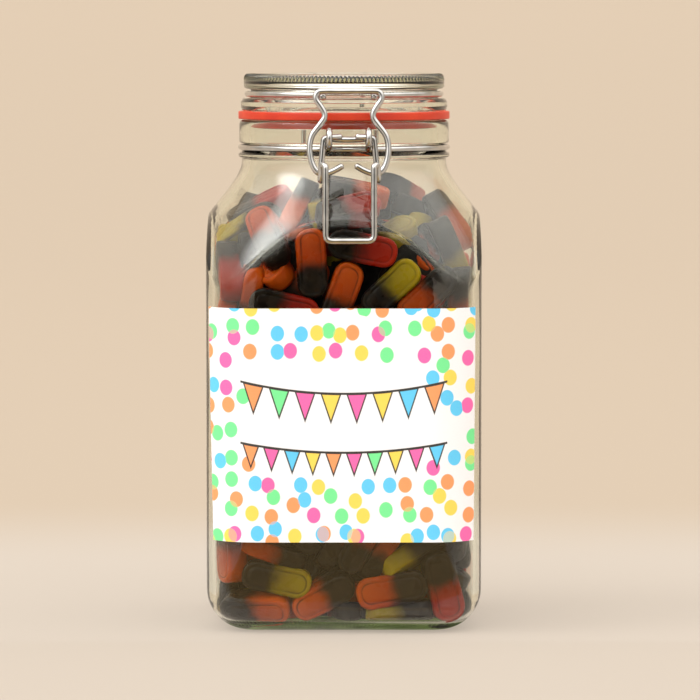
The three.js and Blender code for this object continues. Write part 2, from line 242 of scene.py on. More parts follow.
def layCard(name, near, far, half, light):
    finish, tree, shader, _ = newFinish(name)
    setInputs(tree, shader, {
        "Base Color": (0, 0, 0, 1),
        "Specular IOR Level": 0.0,
        "Emission Color": light,
        "Emission Strength": 1.0,
    })
    lift = 0.003
    corners = [(-half, far, lift), (half, far, lift), (half, near, lift), (-half, near, lift)]
    card = addObject(name, newMesh(name, corners, [], [(0, 1, 2, 3)], finish))
    for way in ("camera", "diffuse", "shadow", "volume_scatter"):
        setattr(card, "visible_" + way, False)


def layFloor():
    v = studio
    finish, tree, shader, _ = newFinish("paperSweep")
    point = objectPlace(tree)
    _, depth, height = apart(tree, point)
    climb = spread(tree, height, 0.0, v["climb"], smooth=True)
    back = spread(tree, depth, *v["floorEdge"], smooth=True)
    tone = mixColours(tree, back, v["floor"], v["wall"])
    setInputs(tree, shader, {
        "Base Color": mixColours(tree, v["lightShare"], (0, 0, 0, 1), tone),
        "Emission Color": tone,
        "Emission Strength": spread(tree, climb, 0.0, 1.0, v["floorGlow"], v["wallGlow"]),
        "Roughness": 0.85,
        "Specular IOR Level": 0.2,
        "Normal": roughen(tree, grain(tree, point, v["tooth"]), strength=0.15, distance=0.0004),
    })
    path = [(v["front"], 0.0), (v["bendStart"], 0.0)]
    for sin, cos in quarterTurn(v["bendSteps"]):
        path.append((v["bendStart"] + v["bendRadius"] * sin, v["bendRadius"] * (1 - cos)))
    path.append((path[-1][0], v["wallTop"]))
    points = [(x, y, z) for y, z in path for x in (-v["halfWidth"], v["halfWidth"])]
    faces = [(2 * i, 2 * i + 1, 2 * i + 3, 2 * i + 2) for i in range(len(path) - 1)]
    mesh = newMesh("sweep", points, [], faces, finish)
    mesh.shade_smooth()
    addObject("sweep", mesh)


lightRoom()
layFloor()
for cardName, card in mirrorCards.items():
    layCard(cardName, *card)
print("studio: sweep and", len(skyPatches), "patches of soft light")


# mesh helpers

def meshFrom(name, points, faces, finish, sharpAngle=None):
    mesh = newMesh(name, (np.asarray(points) * metres).tolist(), [], faces, finish)
    mesh.shade_smooth()
    if sharpAngle:
        mesh.set_sharp_from_angle(angle=math.radians(sharpAngle))
    mesh.validate()
    return addObject(name, mesh)


def latticeFaces(rows, columns, loop=False):
    count = rows if loop else rows - 1
    r, c = np.meshgrid(np.arange(count), np.arange(columns), indexing="ij")
    nextRow = (r + 1) % rows
    nextColumn = (c + 1) % columns
    quads = np.stack([r * columns + c, r * columns + nextColumn,
                      nextRow * columns + nextColumn, nextRow * columns + c], axis=-1)
    return quads.reshape(-1, 4).tolist()


# rows run from the first pole round the section to the last pole, columns run anticlockwise
def turnedPiece(name, rows, finish, poles=None):
    rows = np.asarray(rows)
    count, columns = rows.shape[:2]
    faces = latticeFaces(count, columns, loop=poles is None)
    points = rows.reshape(-1, 3)
    if poles is not None:
        first = len(points)
        points = np.vstack([points, [(0, 0, poles[0]), (0, 0, poles[1])]])
        last = (count - 1) * columns
        for c in range(columns):
            after = (c + 1) % columns
            faces.append((first, after, c))
            faces.append((last + c, last + after, first + 1))
    return meshFrom(name, points, faces, finish)


# a path through corners, each rounded with its own radius
def bentPath(corners, radii, steps=5):
    mostCut = 0.49  # share of either leg that a bend may take
    leastCut = 1e-4
    corners = [np.array(corner, float) for corner in corners]
    if np.isscalar(radii):
        radii = [radii] * len(corners)
    path = [corners[0]]
    for i in range(1, len(corners) - 1):
        before, here, after = corners[i - 1:i + 2]
        inLength = np.linalg.norm(here - before)
        outLength = np.linalg.norm(after - here)
        into = (here - before) / inLength
        out = (after - here) / outLength
        half = math.acos(max(-1.0, min(1.0, into @ out))) / 2
        cut = min(radii[i] * math.tan(half), mostCut * inLength, mostCut * outLength)
        if cut < leastCut:
            path.append(here)
            continue
        start, end = here - cut * into, here + cut * out
        for t in np.linspace(0, 1, steps + 1):
            path.append((1 - t)**2 * start + 2 * t * (1 - t) * here + t**2 * end)
    path.append(corners[-1])
    return np.array(path)


# a section given as radius, height and rounding, with its corners rounded
def roundedSection(section, steps):
    corners = [(radius, height) for radius, height, _ in section]
    return bentPath(corners, [rounding for _, _, rounding in section], steps)


# a smooth path through its points
def easyPath(points, steps=8):
    points = np.asarray(points, float)
    padded = np.vstack([2 * points[0] - points[1], points, 2 * points[-1] - points[-2]])
    path = []
    for i in range(1, len(padded) - 2):
        a, b, c, d = padded[i - 1:i + 3]
        for t in np.arange(steps) / steps:
            path.append(0.5 * (2 * b + (c - a) * t + (2 * a - 5 * b + 4 * c - d) * t**2
                               + (3 * b - a - 3 * c + d) * t**3))
    return np.array(path + [padded[-2]])


# the piece takes a CAD node's place and its body
def fitPiece(piece, body, slot, *nodes):
    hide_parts(*nodes)
    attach(piece, body)
    print("piece:", piece.name, len(piece.data.polygons), "faces")


# glass

glassFinish = {
    "tint": (0.985, 0.99, 0.975, 1.0),
    "index": 1.5,
    "thickTint": (0.52, 0.60, 0.22, 1.0),  # seen where the light runs a long way in the glass
    "thickShare": 26.0,
    "ripple": 0.03,
    "rippleScale": 38.0,
    # painted shade and painted light of the olive underside's streaks
    "deepShade": (0.06, 0.10, 0.015, 1.0),
    "deepLight": (0.36, 0.48, 0.14, 1.0),
    "paintedGlow": 0.3,  # painted glow, standing in for light gathered along the base
    "streakScale": 70.0,
    "stippleScale": 500.0,
}


def clearGlass(name, thickShare):
    v = glassFinish
    finish, tree, shader, output = newFinish(name)
    flow = grain(tree, objectPlace(tree), v["rippleScale"], detail=1.0)
    setInputs(tree, shader, {
        "Base Color": v["tint"],
        "Transmission Weight": 1.0,
        "Roughness": 0.0,
        "IOR": v["index"],
        "Normal": roughen(tree, flow, v["ripple"], distance=0.002),
    })
    soak = outOf(tree, "ShaderNodeVolumeAbsorption", {"Color": v["thickTint"], "Density": thickShare})
    setInputs(tree, output, {"Volume": soak})
    return finish


# the stippled underside, painted olive and given a painted glow, standing in for the light seen along the
# thickness of the base
def deepGlass():
    v = glassFinish
    finish, tree, shader, _ = newFinish("baseGlass")
    point = objectPlace(tree)
    streaks = spread(tree, grain(tree, point, v["streakScale"], detail=4.0), 0.35, 0.65)
    shade = mixColours(tree, streaks, v["deepShade"], v["deepLight"])
    setInputs(tree, shader, {
        "Base Color": shade,
        "Emission Color": shade,
        "Emission Strength": v["paintedGlow"],
        "Roughness": 0.3,
        "Normal": roughen(tree, grain(tree, point, v["stippleScale"]), strength=0.4, distance=0.0008),
    })
    return finish


jarShape = {
    "half": 56.5,
    "corner": 21.0,
    "heel": 17.0,
    "innerHeel": 8.0,
    "wall": 3.4,
    "domeWall": 4.0,
    "floor": 4.0,
    "shoulder": ((76.0, 126.0), (72.0, 162.0), (42.6, 180.0), (42.6, 191.7)),
    "shoulderEdge": 0.6,  # how sharply the flat faces meet the dome
    "innerEdge": 0.7,
    "mouth": 39.2,
    "columns": 480,
    "ridgeColumns": 2,  # one heel ridge takes this many columns
    "ridgeDepth": 0.65,
    "ridgeTop": 4.6,
    # underside out from its middle: share of the standing edge, height
    "underside": ((0.3, 1.5), (0.6, 1.35), (0.86, 1.0), (0.94, 0.45), (0.98, 0.1), (1.0, 0.0)),
    "undersideTop": 1.6,
    "undersideLimit": 1.7,
    "shoulderPoints": 200,
    "heelSteps": 14,
    "sideRows": 15,
    "edgeRows": 10,
    "domeRows": 24,
    "innerUpperRows": 36,
    "innerLowerRows": 14,
    "innerHeelSteps": 7,
    "floorShares": (0.85, 0.6, 0.3),
    "innerTop": 197.0,
    "innerTurn": 122.0,  # above it the inner rows lie closer together
    "mouthFoot": 192.0,
    "waviness": 0.16,
    "mostWave": 1.7,
    "calm": (160.0, 190.0),  # the inner wall's waviness dies out between these heights
    "heelEase": 0.27,  # carries the wavy wall into the heel
}

# neck section from the shoulder up: radius, height, rounding
neckSection = (
    (42.6, 191.7, 0.0), (42.6, 193.0, 0.4), (44.0, 193.3, 0.8), (44.0, 194.6, 0.5), (41.3, 196.7, 0.5),
    (41.3, 198.8, 0.6), (43.7, 199.3, 0.8), (43.7, 208.8, 2.2), (39.2, 208.8, 1.6), (39.2, 203.0, 0.0),
)


def squareReach(angles, half, corner):
    c, s = np.abs(np.cos(angles)), np.abs(np.sin(angles))
    flat = half - corner
    onFlat = half / np.maximum(c, s)
    onCorner = flat * (c + s) + np.sqrt(np.maximum(corner**2 - (flat * (c - s))**2, 0))
    return np.where(onFlat * np.minimum(c, s) <= flat, onFlat, onCorner)


# outline of the jar's sides, so far in from the outer face
def sideReach(angles, inset):
    return squareReach(angles, jarShape["half"] - inset, jarShape["corner"] - inset)


def shoulderCurve(inset):
    t = np.linspace(0, 1, jarShape["shoulderPoints"])[:, None]
    a, b, c, d = (np.array(point) for point in jarShape["shoulder"])
    points = (1 - t)**3 * a + 3 * (1 - t)**2 * t * b + 3 * (1 - t) * t**2 * c + t**3 * d
    slope = 3 * (1 - t)**2 * (b - a) + 6 * (1 - t) * t * (c - b) + 3 * t**2 * (d - c)
    slope /= np.linalg.norm(slope, axis=1)[:, None]
    return points + inset * np.stack([-slope[:, 1], slope[:, 0]], axis=1)


def domeRadius(curve, level):
    return np.interp(level, curve[:, 1], curve[:, 0])


def easedMin(first, second, ease):
    near = np.maximum(ease - np.abs(first - second), 0) / ease
    return np.minimum(first, second) - near**2 * ease / 4


def evenAngles(count):
    dense = np.linspace(0, fullTurn, 20001)  # fine enough to measure the way round by
    reach = sideReach(dense, 0)
    x, y = reach * np.cos(dense), reach * np.sin(dense)
    run = np.concatenate([[0], np.cumsum(np.hypot(np.diff(x), np.diff(y)))])
    return np.interp(np.arange(count) / count * run[-1], run, dense)


def ring(angles, radius, height):
    radius = np.broadcast_to(radius, angles.shape)
    height = np.broadcast_to(height, angles.shape)
    return np.stack([radius * np.cos(angles), radius * np.sin(angles), height], axis=1)


def blowJar():
    v = jarShape
    angles = evenAngles(v["columns"])
    rows = []
    # underside: a shallow hollow inside the standing edge
    stand = sideReach(angles, v["heel"])
    for share, height in v["underside"]:
        rows.append(ring(angles, stand * share, height))
    # heel, with its band of gripping ridges
    index = np.arange(v["columns"])
    for step, (sin, cos) in enumerate(quarterTurn(v["heelSteps"]), 1):
        height = v["heel"] * (1 - cos)
        radius = sideReach(angles, v["heel"] * (1 - sin))
        if height < v["ridgeTop"]:
            valley = (index + step) % v["ridgeColumns"] != 0
            radius = radius - v["ridgeDepth"] * valley * math.sin(math.pi * height / v["ridgeTop"])
        rows.append(ring(angles, radius, height))
    # flat sides up to where the dome cuts them
    square = sideReach(angles, 0)
    curve = shoulderCurve(0)
    crossing = np.interp(-square, -curve[:, 0], curve[:, 1])
    foot, top, edge = v["heel"], v["shoulder"][3][1], v["shoulderEdge"]
    levels = [foot + (crossing - edge - foot) * t for t in partway(v["sideRows"])]
    levels += [crossing + edge * t for t in np.linspace(-1, 1, v["edgeRows"] + 1)[1:]]
    levels += [crossing + edge + (top - crossing - edge) * t for t in partway(v["domeRows"])]
    for level in levels:
        rows.append(ring(angles, easedMin(domeRadius(curve, level), square, edge), level))
    rows += [ring(angles, radius, height) for radius, height in roundedSection(neckSection, 4)[1:]]
    # inside
    curve = shoulderCurve(np.linspace(v["domeWall"], v["wall"], v["shoulderPoints"])[:, None])
    square = sideReach(angles, v["wall"])
    innerHeel, steps = v["innerHeel"], v["innerHeelSteps"]
    heelTop = v["floor"] + innerHeel
    upper = np.linspace(v["innerTop"], v["innerTurn"], v["innerUpperRows"])
    lower = np.linspace(v["innerTurn"], heelTop, v["innerLowerRows"])[1:]
    for level in np.concatenate([upper, lower]):
        radius = easedMin(domeRadius(curve, level), square, v["innerEdge"])
        if level > v["mouthFoot"]:
            radius = np.minimum(radius, v["mouth"])
        calm = np.interp(level, v["calm"], (1, 0))
        wave = np.sin(3 * angles + level / 13) + 0.7 * np.sin(5 * angles - level / 7 + 1)
        rows.append(ring(angles, radius + calm * v["waviness"] * (wave - v["mostWave"]), level))
    for step, (sin, cos) in enumerate(quarterTurn(steps), 1):
        radius = sideReach(angles, v["wall"] + innerHeel * (1 - cos))
        ease = v["heelEase"] * (1 - step / steps)
        rows.append(ring(angles, radius - ease, heelTop - innerHeel * sin))
    inner = sideReach(angles, v["wall"] + innerHeel)
    rows += [ring(angles, inner * share, v["floor"]) for share in v["floorShares"]]
    finish = clearGlass("jarGlass", glassFinish["thickShare"])
    jar = turnedPiece("jarGlass", rows, finish, poles=(v["undersideTop"], v["floor"]))
    # the underside faces get the opaque painted olive and its painted glow
    jar.data.materials.append(deepGlass())
    for face in jar.data.polygons:
        top = max(jar.data.vertices[corner].co.z for corner in face.vertices) / metres
        within = max(abs(face.center.x), abs(face.center.y)) / metres < v["half"] - v["heel"]
        face.material_index = int(within and top < v["undersideLimit"])
        face.use_smooth = within or top >= v["ridgeTop"]
    return jar


fitPiece(blowJar(), "jar", "jar_glass", "jar_glass")

lidShape = {
    "thickShare": 13.0,
    "teeth": 150,
    "toothColumns": 4,
    "toothDepth": 0.6,
    "toothBand": (37.4, 42.6),  # radii between which the top edge is toothed
    "toothFoot": 224.8,  # the teeth die out down the side
    "toothRise": 1.2,
    "toothRows": 5,
    "toothLean": 0.5,
    "toothPull": 0.6,  # how far a gap also runs inwards
}

# lid section from under the hollow, down the plug, out and up: radius, height, rounding
lidSection = (
    (12.0, 224.4, 0.0), (34.0, 224.4, 4.0), (34.0, 205.0, 0.9), (38.2, 205.0, 1.0), (38.2, 212.6, 0.5),
    (42.5, 212.6, 0.7), (43.1, 214.5, 1.2), (43.0, 216.2, 1.0), (42.0, 217.8, 1.2), (38.7, 217.8, 1.3),
    (38.7, 221.4, 1.3), (41.8, 221.6, 1.6), (41.8, 228.0, 2.4), (34.6, 228.0, 1.4), (32.8, 226.8, 1.4),
    (14.0, 226.8, 0.0),
)


def pressLid():
    v = lidShape
    columns = v["teeth"] * v["toothColumns"]
    angles = np.arange(columns) / columns * fullTurn
    section = roundedSection(lidSection, 6)
    low, high = v["toothBand"]
    dense = [section[0]]
    for a, b in zip(section[:-1], section[1:]):
        toothed = max(a[1], b[1]) > v["toothFoot"] and max(a[0], b[0]) > low
        pieces = v["toothRows"] if toothed and np.linalg.norm(b - a) > 1 else 1
        dense += [a + (b - a) * t for t in partway(pieces)]
    rows = []
    for radius, height in dense:
        band = 0.0
        if height > v["toothFoot"] and radius > low:
            inward = math.sin(math.pi * min((radius - low) / (high - low), 0.5))
            band = inward * min((height - v["toothFoot"]) / v["toothRise"], 1.0)
        slant = (radius - low) * v["toothLean"]
        dip = v["toothDepth"] * band * (0.5 - 0.5 * np.cos(v["teeth"] * angles + slant))
        rows.append(ring(angles, radius - v["toothPull"] * dip, height - dip))
    finish = clearGlass("lidGlass", v["thickShare"])
    return turnedPiece("lidGlass", rows, finish, poles=(lidSection[0][1], lidSection[-1][1]))


fitPiece(pressLid(), "lid", "lid_glass", "lid_glass")


# rubber seal

sealShape = {
    "inner": 38.45,
    "outer": 44.0,
    "bottom": 209.1,
    "top": 212.3,
    "lip": (38.95, 205.4),  # squeezed down between the plug and the neck
    "rounding": 0.5,
    "columns": 160,
    "colour": rgb(216, 62, 24),
    "deepColour": rgb(196, 42, 12),
}


def sealRubber():
    finish, tree, shader, _ = newFinish("sealRubber")
    point = objectPlace(tree)
    cloud = grain(tree, point, scale=60.0, detail=4.0)
    shade = mixColours(tree, spread(tree, cloud, 0.35, 0.65), sealShape["colour"], sealShape["deepColour"])
    setInputs(tree, shader, {
        "Base Color": shade,
        "Roughness": spread(tree, cloud, 0.3, 0.7, 0.38, 0.52),
        "Subsurface Weight": 0.25,
        "Subsurface Radius": (0.004, 0.0012, 0.0006),
        "Normal": roughen(tree, grain(tree, point, scale=1800.0), strength=0.12, distance=0.0002),
    })
    return finish


def sealRing():
    v = sealShape
    angles = np.arange(v["columns"]) / v["columns"] * fullTurn
    middle = (v["inner"] + v["outer"]) / 2
    lipOuter, lipBottom = v["lip"]
    corners = [(middle, v["bottom"]), (v["outer"], v["bottom"]), (v["outer"], v["top"]),
               (v["inner"], v["top"]), (v["inner"], lipBottom), (lipOuter, lipBottom),
               (lipOuter, v["bottom"]), (middle, v["bottom"])]
    section = bentPath(corners, v["rounding"], 4)[:-1]
    rows = [ring(angles, radius, height) for radius, height in section]
    return turnedPiece("sealRing", rows, sealRubber())


fitPiece(sealRing(), "lid", "seal", "seal_ring")
print("glass and seal done")


# closure wires

wireShape = {
    "radius": 1.27,
    "bend": 2.6,
    "sides": 18,
    "lidRingPoints": 140,
    "neckRingPoints": 160,
    "eyePoints": 30,
    "sharpAngle": 60,
    "endDome": 0.6,  # rise of a cut end, as a share of the radius
    "steel": ((0.46, 0.46, 0.45, 1.0), (0.62, 0.61, 0.60, 1.0)),
    "closureTurn": 2.4,  # the closure sits a little round from the front
    "lidRing": (40.2, 219.5),
    "lidEnd": (10.4, -45.5, 218.6),
    "lidGap": 5.0,  # degrees of the lid's ring taken by the bend at each end
    "hingeArm": 11.0,
    "hingeArmBack": 45.4,
    "hingeArmFoot": 0.5,  # height above the eye's middle
    "hingeEye": (48.0, 208.0, 2.6),
    "hingeSweep": (180, 500),  # degrees over which the eye is wound
    "neckRing": (42.9, 197.4),
    "post": 17.0,
    "frontEye": (8.0, -48.6, 202.0, 3.4),
    "frontSweep": (270, -80),
    "stemBend": 1.5,
    "stemEnd": 0.4,
    "bridge": -45.2,
    "bridgeSag": 0.5,
}


def steelWire():
    finish, tree, shader, _ = newFinish("steelWire")
    point = objectPlace(tree)
    cloud = grain(tree, point, scale=220.0, detail=4.0)
    drawn = grain(tree, point, scale=2600.0, detail=2.0)
    setInputs(tree, shader, {
        "Base Color": mixColours(tree, spread(tree, cloud, 0.3, 0.7), *wireShape["steel"]),
        "Metallic": 1.0,
        "Roughness": spread(tree, cloud, 0.3, 0.7, 0.09, 0.17),
        "Normal": roughen(tree, drawn, strength=0.05, distance=0.0001),
    })
    return finish


def newTree(name, sockets):
    tree = bpy.data.node_groups.new(name, "GeometryNodeTree")
    tree.interface.new_socket("Geometry", in_out="INPUT", socket_type="NodeSocketGeometry")
    for label, kind in sockets:
        tree.interface.new_socket(label, in_out="INPUT", socket_type="NodeSocket" + kind)
    tree.interface.new_socket("Geometry", in_out="OUTPUT", socket_type="NodeSocketGeometry")
    return tree, tree.nodes.new("NodeGroupInput").outputs, tree.nodes.new("NodeGroupOutput").inputs


def endTree(tree, geometry, finish, result):
    smooth = outOf(tree, "GeometryNodeSetShadeSmooth", {"Geometry": geometry})
    real = outOf(tree, "GeometryNodeRealizeInstances", {"Geometry": smooth})
    painted = outOf(tree, "GeometryNodeSetMaterial", {"Geometry": real, "Material": finish})
    tree.links.new(painted, result[0])
    return tree


def wireTree():
    tree, given, result = newTree("bentWire", (
        ("Wire Radius", "Float"), ("Sides", "Int"), ("Finish", "Material")))
    section = outOf(tree, "GeometryNodeCurvePrimitiveCircle", {
        "Resolution": given["Sides"], "Radius": given["Wire Radius"]})
    tube = outOf(tree, "GeometryNodeCurveToMesh", {
        "Curve": outOf(tree, "GeometryNodeMeshToCurve", {0: given["Geometry"]}),
        "Profile Curve": section,
        "Fill Caps": True,
    })
    return endTree(tree, tube, given["Finish"], result)


# runs a tree on a starting object and keeps the result as a plain mesh
def grow(name, start, tree, values):
    modifier = start.modifiers.new(tree.name, "NODES")
    modifier.node_group = tree
    for item in tree.interface.items_tree:
        if item.in_out == "INPUT" and item.name in values:
            modifier[item.identifier] = values[item.name]
    depsgraph = bpy.context.evaluated_depsgraph_get()
    evaluated = start.evaluated_get(depsgraph)
    mesh = bpy.data.meshes.new_from_object(evaluated, preserve_all_data_layers=True, depsgraph=depsgraph)
    start.modifiers.remove(modifier)
    bpy.data.objects.remove(start)
    mesh.name = name
    return addObject(name, mesh)


bentWire = wireTree()
bareSteel = steelWire()


def bendWire(name, strands):
    turn = math.radians(wireShape["closureTurn"])
    cos, sin = math.cos(turn), math.sin(turn)
    points, edges = [], []
    for strand, closed in strands:
        first = len(points)
        points += [(x * cos - y * sin, x * sin + y * cos, z) for x, y, z in strand]
        edges += [(i, i + 1) for i in range(first, len(points) - 1)]
        if closed:
            edges.append((len(points) - 1, first))
    mesh = newMesh(name, (np.array(points) * metres).tolist(), edges, [])
    piece = grow(name, addObject(name + "Path", mesh), bentWire, {
        "Wire Radius": wireShape["radius"] * metres,
        "Sides": wireShape["sides"],
        "Finish": bareSteel,
    })
    # the cut ends are a little domed
    shell = bmesh.new()
    shell.from_mesh(piece.data)
    ends = [face for face in shell.faces if len(face.verts) > 4]
    bmesh.ops.poke(shell, faces=ends, offset=wireShape["endDome"] * wireShape["radius"] * metres)
    shell.to_mesh(piece.data)
    shell.free()
    piece.data.shade_smooth()
    piece.data.set_sharp_from_angle(angle=math.radians(wireShape["sharpAngle"]))
    return piece


def mirrored(half):
    half = np.asarray(half, float)
    return np.vstack([half, half[::-1] * (-1, 1, 1)])


def arc(radius, height, start, end, steps):
    angles = np.radians(np.linspace(start, end, steps))
    return ring(angles, radius, height)


# a loop that stands along the jar's depth
def eyeLoop(x, y, z, radius, sweep):
    angles = np.radians(np.linspace(*sweep, wireShape["eyePoints"]))
    sideways = np.full(len(angles), x)
    return np.stack([sideways, y + radius * np.cos(angles), z + radius * np.sin(angles)], axis=1)


def lidWire():
    v = wireShape
    radius, height = v["lidRing"]
    x, y, z = v["lidEnd"]
    gap = math.degrees(math.asin(x / radius))
    corner = (x, -math.sqrt(radius**2 - x**2), height)
    loop = arc(radius, height, gap - 90 + v["lidGap"], 270 - gap - v["lidGap"], v["lidRingPoints"])
    opened = [(x, y, z), corner, *loop, (-corner[0], corner[1], height), (-x, y, z)]
    radii = [0.0, v["bend"]] + [0.0] * len(loop) + [v["bend"], 0.0]
    strands = [(bentPath(opened, radii), False)]
    eyeY, eyeZ, eyeRadius = v["hingeEye"]
    for side in (-1, 1):
        arm = side * v["hingeArm"]
        start = math.sqrt(radius**2 - arm**2)
        down = bentPath([(arm, start, height), (arm, v["hingeArmBack"], height),
                         (arm, v["hingeArmBack"], eyeZ + v["hingeArmFoot"])], v["bend"])
        strands.append((np.vstack([down, eyeLoop(arm, eyeY, eyeZ, eyeRadius, v["hingeSweep"])]), False))
    return bendWire("lidWire", strands)


def neckWire():
    v = wireShape
    radius, height = v["neckRing"]
    strands = [(arc(radius, height, 0, 360, v["neckRingPoints"] + 1)[:-1], True)]
    eyeY, eyeZ, _ = v["hingeEye"]
    post = v["post"]
    start = math.sqrt(radius**2 - post**2)
    pin = mirrored([(post, start, height), (post, eyeY, height), (post, eyeY, eyeZ)])
    strands.append((bentPath(pin, v["bend"]), False))
    x, y, z, eyeRadius = v["frontEye"]
    bridge, under = v["bridge"], z - v["bridgeSag"]
    root = -math.sqrt(radius**2 - x**2)
    for side in (-1, 1):
        stem = bentPath([(side * x, root, height), (side * x, bridge, z - eyeRadius),
                         (side * x, y + v["stemEnd"], z - eyeRadius)], v["stemBend"])
        strands.append((np.vstack([stem, eyeLoop(side * x, y, z, eyeRadius, v["frontSweep"])]), False))
    bar = [(-x, bridge, z), (-x / 2, bridge, under), (x / 2, bridge, under), (x, bridge, z)]
    strands.append((easyPath(bar), False))
    return bendWire("neckWire", strands)


# half of the lever: pivot end, arm, hook under the yoke's foot, finger loop
leverPath = (
    (3.1, -48.6, 202.7), (8.0, -48.6, 202.35), (10.2, -48.6, 202.05), (11.5, -49.2, 187.9),
    (11.5, -49.2, 185.0), (11.5, -55.0, 185.0), (11.5, -55.0, 191.4), (9.8, -57.6, 191.4),
    (9.8, -58.8, 160.8),
)

# half of the yoke, from its foot up to the bar over the lid wire: sideways, height
yokePath = (
    (2.8, 191.0), (6.0, 189.2), (9.4, 187.95), (12.0, 188.0), (14.0, 189.8), (15.5, 193.6), (16.0, 198.6),
    (15.0, 203.2), (12.0, 207.3), (10.1, 210.0), (9.9, 212.2), (11.4, 215.0), (13.2, 217.6), (13.3, 219.4),
    (12.2, 220.8), (10.0, 221.1), (4.0, 221.1),
)
# depth and height of its foot and its bar
yokeFoot = (-52.1, 187.9)
yokeBar = (-47.0, 221.0)


def leverWire():
    path = bentPath(mirrored(leverPath), wireShape["bend"], 7)
    return bendWire("leverWire", [(path, False)])


def yokeWire():
    (footY, footZ), (barY, barZ) = yokeFoot, yokeBar
    half = []
    for x, z in yokePath:
        share = max(0.0, (z - footZ) / (barZ - footZ))
        half.append((x, footY + share * (barY - footY), z))
    return bendWire("yokeWire", [(easyPath(mirrored(half), 6), False)])


fitPiece(lidWire(), "lid", "wire", "lid_wire")
fitPiece(neckWire(), "jar", "wire", "neck_wire")
fitPiece(leverWire(), "lever", "wire", "lever")
fitPiece(yokeWire(), "yoke", "wire", "yoke")
print("closure wires done")


# paper label

labelShape = {
    "bottom": 38.1,
    "top": 133.4,
    "gap": 0.15,
    "thickness": 0.25,
    "leftEnds": (33.7, 23.5),  # degrees short of the side face, at the bottom and the top
    "rightEnds": (35.3, 32.2),
    "columns": 72,
    "rows": 20,
    "unit": 100.0,  # one step of the label's map, in millimetres
    "faceOn": 0.7,  # how far the print is laid out as seen from the front
    "paper": (0.945, 0.955, 0.985, 1.0),
    "ink": (0.025, 0.023, 0.022, 1.0),
    "fibre": (0.6, 0.58, 0.54, 1.0),
    "dotColours": (rgb(253, 105, 180), rgb(255, 160, 100), rgb(255, 220, 90), rgb(120, 240, 155),
                   rgb(95, 208, 255)),
    "seeThrough": 0.45,  # of a dot over another
    "dotRadius": 2.75,
    "dotTall": 1.17,  # dots are a little taller than wide
    "dotScatter": 0.55,
    "dotEdge": 0.05,  # softness, as a share of the radius
    "clearHalf": (46.0, 25.0),  # the middle of the label is kept free of dots
    "garlandHalf": 42.0,
    # soft edges in millimetres: a pennant's outline, its fill inside that, the string
    "outlineEdge": (-0.12, 0.12),
    "fillEdge": (0.45, 0.75),
    "stringEdge": (0.35, 0.55),
}

# spacing, shift, share of places that hold a dot
dotLayers = ((9.0, (0.13, 0.41), 0.90), (11.6, (3.7, 1.9), 0.58))

# two strings of pennants: middle height, sag, pennant pitch, half width, drop, colour step
garlands = ((13.0, 5.0, 10.5, 4.3, 12.5, 0.42), (-11.0, 4.0, 8.4, 3.5, 10.0, 0.73))


# place on the wrap, from how far round it and how high
def onWrap(share, height, lift):
    v = labelShape
    rise = (height - v["bottom"]) / (v["top"] - v["bottom"])
    left, right = (math.radians(low + rise * (high - low)) for low, high in (v["leftEnds"], v["rightEnds"]))
    corner = jarShape["corner"]
    flat = jarShape["half"] - corner
    bend = corner * math.pi / 2
    start = corner * left - bend - flat
    end = flat + bend - corner * right
    run = start + share * (end - start)
    radius = corner + lift
    if abs(run) <= flat:
        return (run, -flat - radius, height), run
    side = math.copysign(1, run)
    turn = (abs(run) - flat) / corner
    return (side * (flat + radius * math.sin(turn)), -flat - radius * math.cos(turn), height), run


# one of the label's colours, by a value from 0 to 1
def pickColour(tree, value):
    palette = addNode(tree, "ShaderNodeValToRGB", {0: value})
    palette.color_ramp.interpolation = "CONSTANT"
    stops = palette.color_ramp.elements
    band = 1 / len(labelShape["dotColours"])
    for i, colour in enumerate(labelShape["dotColours"]):
        stop = stops[i] if i < 2 else stops.new(band * i)
        stop.position = band * i
        stop.color = colour
    return palette.outputs[0]


def confettiPaper():
    v = labelShape
    finish, tree, shader, _ = newFinish("confettiPaper")
    place = outOf(tree, "ShaderNodeUVMap", uv_map="label")
    clearAcross, clearUp = (half / v["unit"] for half in v["clearHalf"])
    shade, covered = v["paper"], 0.0
    for spacing, shift, share in dotLayers:
        squat = vectors(tree, "MULTIPLY", place, (1.0, 1 / v["dotTall"], 1.0))
        cells = addNode(tree, "ShaderNodeTexVoronoi", {
            "Vector": vectors(tree, "ADD", squat, (*shift, 0.0)),
            "Scale": v["unit"] / spacing,
            "Randomness": v["dotScatter"],
        }, voronoi_dimensions="2D").outputs
        pick = addNode(tree, "ShaderNodeSeparateColor", {0: cells["Color"]}).outputs
        # a dot is left out where its middle falls in the clear oval
        spot = vectors(tree, "SUBTRACT", cells["Position"], (*shift, 0.0))
        spot = vectors(tree, "DIVIDE", spot, (clearAcross, clearUp / v["dotTall"], 1.0))
        across, up, _ = (sums(tree, "MULTIPLY", part, part) for part in apart(tree, spot))
        free = sums(tree, "GREATER_THAN", sums(tree, "ADD", across, up), 1.0)
        there = sums(tree, "MULTIPLY", free, sums(tree, "LESS_THAN", pick[1], share))
        edge, soft = v["dotRadius"] / spacing, v["dotEdge"]
        disc = spread(tree, cells["Distance"], edge * (1 - soft), edge * (1 + soft), 1.0, 0.0)
        inked = sums(tree, "MULTIPLY", disc, there)
        thinned = sums(tree, "MULTIPLY_ADD", covered, -v["seeThrough"], 1.0)
        shade = mixColours(tree, sums(tree, "MULTIPLY", inked, thinned), shade, pickColour(tree, pick[0]))
        covered = inked
    shade = hangPennants(tree, place, shade)
    fibre = grain(tree, place, scale=160.0, detail=4.0)
    setInputs(tree, shader, {
        "Base Color": mixColours(tree, spread(tree, fibre, 0.35, 0.7, 0.0, 0.05), shade, v["fibre"]),
        "Roughness": 0.55,
        "Normal": roughen(tree, fibre, strength=0.06, distance=0.0002),
    })
    return finish


